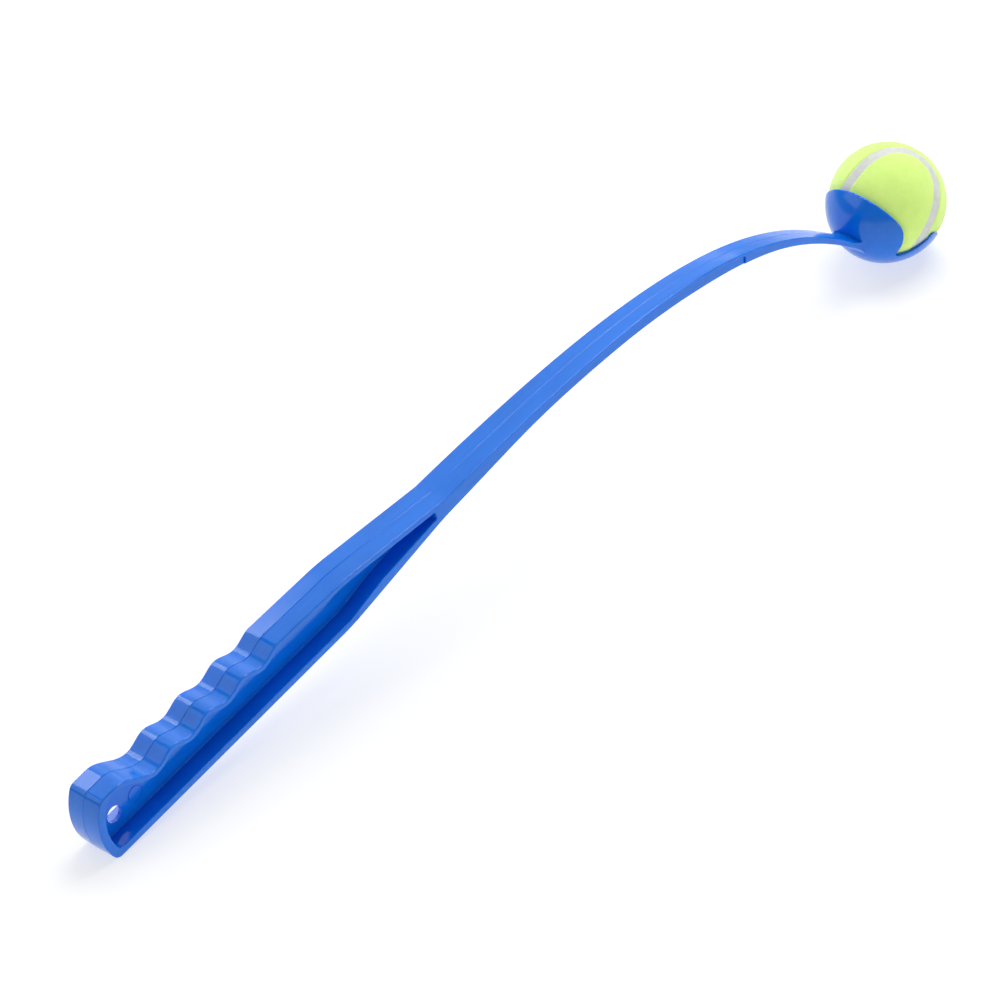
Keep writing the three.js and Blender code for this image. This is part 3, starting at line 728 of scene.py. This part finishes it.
def seam_line(ball, shares):
    """The seam on a unit sphere, and the direction over the sphere square to it, towards the upper pole."""
    b = ball.seam_wave
    a = 1 - b
    c = 2 * math.sqrt(a * b)

    def point(t):
        line = np.c_[a * np.cos(t) + b * np.cos(3 * t), a * np.sin(t) - b * np.sin(3 * t), c * np.sin(2 * t)]
        return line / np.linalg.norm(line, axis=1)[:, None]

    t = 2 * math.pi * shares
    step = math.pi / len(shares)
    here = point(t)
    run = point(t + step) - point(t - step)
    aside = np.cross(run, here)
    aside *= np.where(aside[:, 2] < 0, -1, 1)[:, None]
    return here, aside / np.linalg.norm(aside, axis=1)[:, None]


def seam_edge(ball, arm, distance):
    """The seam moved over the sphere by a distance, towards the upper pole where it is positive."""
    here, aside = seam_line(ball, np.arange(SEAM_STEPS) / SEAM_STEPS)
    angle = distance / arm.ball_radius
    return here * math.cos(angle) + aside * math.sin(angle)


def above_rim(arm, directions):
    """How far points on the ball stand clear of the cup's rim, in the side view, and 0 inside the cup."""
    radius = arm.ball_radius
    behind_cup = unit(CUP_POLE) * 2
    rim = np.vstack([cup_rim(arm)[:, (0, 2)], behind_cup]) * radius
    flat = directions[:, (0, 2)] * radius
    near = np.full(len(flat), np.inf)
    inside = np.zeros(len(flat), bool)
    # keeps a step of no length from dividing by 0
    tiny = 1e-18
    for a, b in zip(rim, np.roll(rim, -1, 0)):
        span = b - a
        share = np.clip(((flat - a) @ span) / (span @ span + tiny), 0, 1)[:, None]
        near = np.minimum(near, np.linalg.norm(flat - a - share * span, axis=1))
        crosses = (a[1] > flat[:, 1]) != (b[1] > flat[:, 1])
        with np.errstate(divide="ignore", invalid="ignore"):
            inside ^= crosses & (flat[:, 0] < a[0] + (flat[:, 1] - a[1]) / (b[1] - a[1]) * span[0])
    return np.where(inside, 0, near)


def felt_panel(name, ball, arm, side, turned):
    """One felt panel: its nap is free outside the cup, pressed inside it and rolled under at the seam."""
    pole = np.array((0, 0, float(side)))
    edge = seam_edge(ball, arm, side * ball.seam_width / 2)
    inside = arm.ball_radius - ball.felt
    angle = np.arccos(np.clip(edge @ pole, -1, 1))
    roll = (1 - ball.nap_edge / arm.ball_radius / angle)[:, None]

    def skin(way, from_seam):
        facing = way @ turned.T
        clear = np.clip(above_rim(arm, facing) / ball.nap_rise, 0, 1)
        clear *= np.clip(from_seam / ball.nap_thin, 0, 1)
        rise = ball.nap * clear * clear * (3 - 2 * clear)
        lumps = [noise.noise(Vector(point) * arm.ball_radius / ball.lump_pitch) for point in facing]
        return arm.ball_radius + rise + ball.lump * np.array(lumps) * clear

    rings = []
    for share in np.linspace(0, 1, FELT_RINGS + 1)[1:]:
        way = slerp(pole, edge, share * roll)
        rings.append(way * skin(way, arm.ball_radius * (1 - share * roll[:, 0]) * angle)[:, None])
    for turn in np.linspace(0, math.pi / 2, EDGE_STEPS + 2)[1:]:
        way = slerp(pole, edge, roll + (1 - roll) * math.sin(turn))
        rings.append(way * (arm.ball_radius - ball.nap_edge * (1 - math.cos(turn))))
    for share in np.linspace(1, 0, FELT_INNER_RINGS + 1)[:-1]:
        rings.append(slerp(pole, edge, share) * inside)
    first = pole * skin(pole[None], arm.ball_radius)[0]
    return spoke_body(name, rings, first, pole * inside)


def seam_band(name, ball, arm):
    """The rubber line between the panels: a low crowned section carried once round the seam."""
    half = ball.seam_width / 2 - ball.glue_gap
    section = [
        (place, arm.ball_radius - ball.seam_crown * place ** 4)
        for place in np.linspace(-1, 1, SEAM_SECTION_STEPS + 1)
    ] + [(place, arm.ball_radius - ball.felt) for place in (1, -1)]
    vertices = np.vstack([seam_edge(ball, arm, place * half) * height for place, height in section])
    starts = np.arange(len(section)) * SEAM_STEPS
    faces = [
        face for first, second in zip(starts.tolist(), np.roll(starts, -1).tolist())
        for face in faces_between(first, second, SEAM_STEPS)
    ]
    return new_object(name, vertices, faces)


def ball_stance(grip, arm, ball):
    """The move from the ball's own axes to the model's frame, and its turn in the side view alone."""
    x, y, z = ball.turn
    turned = Matrix.Rotation(x, 4, "X") @ Matrix.Rotation(y, 4, "Y") @ Matrix.Rotation(z, 4, "Z")
    return stance(grip, arm) @ Matrix.Translation((arm.ball_reach, 0, -arm.ball_drop)) @ turned, turned


# Materials


def add_node(tree, kind, inputs=None, output=0, stops=(), **settings):
    """Adds a node with its settings and a ramp's stops, sets or links its inputs, and gives its output."""
    made = tree.nodes.new(kind)
    for name, value in settings.items():
        setattr(made, name, value)
    for name, value in (inputs or {}).items():
        if isinstance(value, bpy.types.NodeSocket):
            tree.links.new(value, made.inputs[name])
        else:
            made.inputs[name].default_value = value
    if stops:
        elements = made.color_ramp.elements
        for _ in stops[2:]:
            elements.new(1)
        for element, stop in zip(elements, stops):
            element.position, element.color = stop
    return made.outputs[output] if len(made.outputs) else made


def empty_tree(owner):
    """The empty node tree of a new material or world."""
    owner.use_nodes = True
    owner.node_tree.nodes.clear()
    return owner.node_tree


def new_material(name):
    """A new material, its empty tree and its object coordinates."""
    material = bpy.data.materials.new(name)
    tree = empty_tree(material)
    return material, tree, add_node(tree, "ShaderNodeTexCoord", output="Object")


def with_surface(material, inputs):
    """A material that ends in a surface shader with the given inputs."""
    shader = add_node(material.node_tree, "ShaderNodeBsdfPrincipled", inputs)
    add_node(material.node_tree, "ShaderNodeOutputMaterial", {"Surface": shader})
    return material


def mottled(tree, base, levels, *clouds):
    """The even mix of one or two clouds, and one colour at (cloud, brightness) levels of that mix."""
    mask = clouds[0]
    for cloud in clouds[1:]:
        mask = add_node(tree, "ShaderNodeMix", {"Factor": 0.5, "A": mask, "B": cloud}, data_type="FLOAT")
    stops = [(place, (*(min(part * level, 1) for part in base), 1)) for place, level in levels]
    return mask, add_node(tree, "ShaderNodeValToRGB", {"Fac": mask}, stops=stops)


def moulded_polypropylene(finish):
    """Polypropylene, injection moulded in a polished tool: a hard gloss over a slightly milky, even
    colour, with faint flow marks and polishing lines along the part and a fine orange peel from shrinkage."""
    material, tree, place = new_material("polypropylene_moulded")
    marks = []
    # flow marks and polishing lines are both drawn out along the part; the lines are 0.05 mm apart, too
    # fine to show, so they are drawn 0.9 mm apart
    for stretch, pitch, rough in (((0.25, 1, 1), FLOW_PITCH, 0.5), ((0.03, 1, 0.3), POLISH_PITCH, 0.6)):
        drawn_out = add_node(tree, "ShaderNodeMapping", {"Vector": place, "Scale": stretch})
        marks.append(add_node(
            tree, "ShaderNodeTexNoise",
            {"Vector": drawn_out, "Scale": 1 / pitch, "Detail": 3, "Roughness": rough},
        ))
    both, shade = mottled(tree, finish.plastic, ((0.34, 0.9), (0.5, 1), (0.66, 1.06)), *marks)
    gloss = add_node(
        tree, "ShaderNodeMapRange",
        {"Value": both, "From Min": 0.35, "From Max": 0.65, "To Min": 0.07, "To Max": 0.16},
    )
    peel = add_node(tree, "ShaderNodeTexNoise", {"Vector": place, "Scale": 1 / PEEL_PITCH, "Detail": 2})
    bump = add_node(tree, "ShaderNodeBump", {"Height": peel, "Strength": 0.25, "Distance": 0.02 * MM})
    return with_surface(material, {
        "Base Color": shade, "Roughness": gloss, "Normal": bump, "IOR": 1.46,
        "Subsurface Weight": 0.4, "Subsurface Scale": MM, "Subsurface Radius": (0.2, 1, 3),
    })


def needled_felt(finish):
    """Wool and nylon felt, needled and brushed: no gloss at all, a soft pale sheen from fibre ends at
    grazing angles, a mottle where the nap lies one way or another, and a painted glow: the felt gives off
    light in its own colour, which brightens it beyond what the lamps give."""
    material, tree, place = new_material("felt_needled_nap")
    lie = add_node(
        tree, "ShaderNodeTexNoise",
        {"Vector": place, "Scale": 1 / MOTTLE_PITCH, "Detail": 4, "Roughness": 0.65},
    )
    # fibres are 0.02 mm thick, too fine to show, so their tufts are drawn 0.8 mm apart
    tufts = add_node(
        tree, "ShaderNodeTexNoise",
        {"Vector": place, "Scale": 1 / TUFT_PITCH, "Detail": 5, "Roughness": 0.7},
    )
    _, shade = mottled(tree, finish.felt, ((0.34, 0.87), (0.5, 1), (0.66, 1.04)), lie, tufts)
    bump = add_node(tree, "ShaderNodeBump", {"Height": tufts, "Strength": 0.8, "Distance": 0.35 * MM})
    # the emission below is a painted glow: the felt gives off light in its own colour, so it looks brighter
    # than the lamps make it
    return with_surface(material, {
        "Base Color": shade, "Normal": bump, "IOR": 1.5, "Roughness": 0.95, "Specular IOR Level": 0.15,
        "Sheen Weight": 0.7, "Sheen Roughness": 0.5, "Sheen Tint": (*finish.fibre_ends, 1),
        "Emission Color": (*finish.felt, 1), "Emission Strength": 0.13,
    })


def cured_rubber(name, base, roughness, grain):
    """Rubber cured against cloth or a mould: matt, with a fine grain and slightly uneven colour."""
    material, tree, place = new_material(name)
    cloud = add_node(
        tree, "ShaderNodeTexNoise", {"Vector": place, "Scale": 1 / RUBBER_CLOUD_PITCH, "Detail": 3}
    )
    _, shade = mottled(tree, base, ((0.35, 0.92), (0.65, 1.05)), cloud)
    worn = add_node(
        tree, "ShaderNodeMapRange", {"Value": cloud, "To Min": roughness - 0.06, "To Max": roughness + 0.06}
    )
    fine = add_node(tree, "ShaderNodeTexNoise", {"Vector": place, "Scale": 1 / grain, "Detail": 3})
    bump = add_node(tree, "ShaderNodeBump", {"Height": fine, "Strength": 0.5, "Distance": 0.05 * MM})
    return with_surface(material, {
        "Base Color": shade, "Roughness": worn, "Normal": bump, "IOR": 1.52, "Specular IOR Level": 0.35,
    })


def lit_acrylic_floor(finish):
    """Opal acrylic sheet, sanded matt and lit from below as product tables are: it glows evenly, so that
    shadows on it stay faint."""
    material, tree, place = new_material("acrylic_opal_lit")
    cloud = add_node(tree, "ShaderNodeTexNoise", {"Vector": place, "Scale": 1 / SHEET_CLOUD_PITCH})
    _, shade = mottled(tree, finish.floor, ((0.3, 0.995), (0.7, 1)), cloud)
    return with_surface(material, {
        "Base Color": shade, "Roughness": 0.9, "Specular IOR Level": 0.1,
        "Emission Color": (1, 1, 1, 1), "Emission Strength": 0.62,
    })


def coat(piece, material):
    """Gives a piece one material alone."""
    piece.data.materials.clear()
    piece.data.materials.append(material)


def dress(piece, material, body, node):
    """Gives a finished piece its material and the body it rides on, and hides the imported node it stands
    for.
    """
    coat(piece, material)
    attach(piece, body)
    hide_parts(node)


# The studio


def softbox(name, azimuth, elevation, distance, width, height, brightness):
    """An even rectangular light that faces the wand."""
    data = bpy.data.lights.new(name, "AREA")
    data.shape = "RECTANGLE"
    data.size, data.size_y = width, height
    data.energy = brightness * math.pi * width * height
    light = put_in_scene(name, data)
    a, e = math.radians(azimuth), math.radians(elevation)
    back = Vector((math.cos(a) * math.cos(e), math.sin(a) * math.cos(e), math.sin(e)))
    light.location = back * distance
    light.rotation_euler = back.to_track_quat("Z", "Y").to_euler()


def sky(scene):
    """A dim room, lighter near the table."""
    scene.world = bpy.data.worlds.new("white_studio")
    tree = empty_tree(scene.world)
    place = add_node(tree, "ShaderNodeTexCoord", output="Generated")
    height = add_node(tree, "ShaderNodeSeparateXYZ", {"Vector": place}, output="Z")
    _, level = mottled(tree, (1, 1, 1), ROOM_LIGHT, height)
    light = add_node(tree, "ShaderNodeBackground", {"Color": level})
    add_node(tree, "ShaderNodeOutputWorld", {"Surface": light})


def photo_camera(scene):
    """The photograph's view: its place, its directions and its long lens."""
    data = bpy.data.cameras.new("photo_view")
    data.sensor_width, data.lens = SENSOR_WIDTH, LENS
    data.clip_start, data.clip_end = NEAREST, FARTHEST
    camera = put_in_scene("photo_view", data)
    right = Vector(CAMERA_RIGHT).normalized()
    back = Vector(CAMERA_BACK).normalized()
    up = back.cross(right).normalized()
    turn = Matrix((right, up, back)).transposed().to_4x4()
    camera.matrix_world = Matrix.Translation(CAMERA_PLACE) @ turn
    scene.camera = camera


# Operators


class LAUNCHER_OT_wand(bpy.types.Operator):
    """Builds the moulded wand: grip, arm and claw cup in one piece"""

    bl_idname = "launcher.wand"
    bl_label = "Moulded wand"

    def execute(self, context):
        grip, arm = context.scene.launcher_grip, context.scene.launcher_arm
        wand = wand_bar(grip, arm)
        wand.name = "wand_moulding"
        web = grip.web_thickness / 2
        past_web = 2 * web
        mark = (grip.ejector_place, 0)
        mark_floor = web - grip.ejector_depth
        mark_middle = grip.ejector_radius - grip.ejector_ring
        for side in (-1, 1):
            combine(wand, pocket_tool(grip, arm, side), "DIFFERENCE")
            combine(wand, recess_tool(grip, arm, side), "DIFFERENCE")
            combine(wand, round_tool(mark, grip.ejector_radius, mark_floor, past_web, side), "DIFFERENCE")
            combine(wand, round_tool(mark, mark_middle, web / 2, web, side), "UNION")
        combine(wand, round_tool((0, 0), grip.hang_hole / 2, -past_web, past_web), "DIFFERENCE")
        combine(wand, cup_shell(arm), "UNION")
        wand.data.transform(stance(grip, arm))
        smooth_by_angle(wand, WAND_SHARP_ANGLE)
        dress(wand, moulded_polypropylene(context.scene.launcher_finish), "wand", "wand")
        return {"FINISHED"}


class LAUNCHER_OT_felt(bpy.types.Operator):
    """Builds the ball's two felt panels"""

    bl_idname = "launcher.felt"
    bl_label = "Felt panels"

    def execute(self, context):
        scene = context.scene
        grip, arm, ball = scene.launcher_grip, scene.launcher_arm, scene.launcher_ball
        place, turned = ball_stance(grip, arm, ball)
        felt = needled_felt(scene.launcher_finish)
        for name, side in (("upper", 1), ("lower", -1)):
            panel = felt_panel(f"felt_nap_{name}", ball, arm, side, np.array(turned.to_3x3()))
            panel.data.transform(place)
            smooth_by_angle(panel, BALL_SHARP_ANGLE)
            dress(panel, felt, "ball", f"felt_panel_{name}")
        return {"FINISHED"}


class LAUNCHER_OT_seam(bpy.types.Operator):
    """Builds the rubber seam between the felt panels and finishes the core under them"""

    bl_idname = "launcher.seam"
    bl_label = "Seam and core"

    def execute(self, context):
        scene = context.scene
        grip, arm, ball = scene.launcher_grip, scene.launcher_arm, scene.launcher_ball
        finish = scene.launcher_finish
        seam = seam_band("seam_rubber_line", ball, arm)
        seam.data.transform(ball_stance(grip, arm, ball)[0])
        smooth_by_angle(seam, BALL_SHARP_ANGLE)
        cement = cured_rubber("rubber_cement_seam", finish.seam, roughness=0.62, grain=SEAM_GRAIN)
        dress(seam, cement, "ball", "ball_seam")
        core = cured_rubber("rubber_moulded_core", finish.core, roughness=0.75, grain=CORE_GRAIN)
        for name in ("core_half_upper", "core_half_lower"):
            coat(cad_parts[name], core)
        return {"FINISHED"}


class LAUNCHER_OT_stage(bpy.types.Operator):
    """Sets the floor, the soft studio lights and the camera"""

    bl_idname = "launcher.stage"
    bl_label = "Studio"

    def execute(self, context):
        scene = context.scene
        scene.view_settings.view_transform = "Standard"
        corners = [(x * FLOOR_REACH, y * FLOOR_REACH, 0) for x, y in ((-1, -1), (1, -1), (1, 1), (-1, 1))]
        floor = new_object("floor", corners, [(0, 1, 2, 3)])
        coat(floor, lit_acrylic_floor(scene.launcher_finish))
        sky(scene)
        for light in SOFTBOXES:
            softbox(*light)
        photo_camera(scene)
        return {"FINISHED"}


class LAUNCHER_PT_panel(bpy.types.Panel):
    """Lists the pieces of the launcher"""

    bl_idname = "LAUNCHER_PT_panel"
    bl_label = "Ball launcher"
    bl_space_type = "VIEW_3D"
    bl_region_type = "UI"
    bl_category = "Launcher"

    def draw(self, context):
        for operator in STEPS:
            self.layout.operator(operator.bl_idname)
        for group in GROUPS:
            settings = getattr(context.scene, group)
            box = self.layout.box()
            for name in settings.__annotations__:
                box.prop(settings, name)


STEPS = (LAUNCHER_OT_wand, LAUNCHER_OT_felt, LAUNCHER_OT_seam, LAUNCHER_OT_stage)
GROUPS = {
    "launcher_grip": GripSizes,
    "launcher_arm": ArmSizes,
    "launcher_ball": BallSizes,
    "launcher_finish": Finishes,
}


def register():
    """Makes the settings, the operators and the panel known to Blender."""
    for kind in (*GROUPS.values(), *STEPS, LAUNCHER_PT_panel):
        bpy.utils.register_class(kind)
    for name, group in GROUPS.items():
        setattr(bpy.types.Scene, name, PointerProperty(type=group))


def unregister():
    """Takes them away again."""
    for name in GROUPS:
        delattr(bpy.types.Scene, name)
    for kind in (LAUNCHER_PT_panel, *reversed(STEPS), *reversed(GROUPS.values())):
        bpy.utils.unregister_class(kind)


def main():
    """Builds the pieces and the studio."""
    register()
    bpy.ops.launcher.wand()
    bpy.ops.launcher.felt()
    bpy.ops.launcher.seam()
    bpy.ops.launcher.stage()


if __name__ == "__main__":
    main()
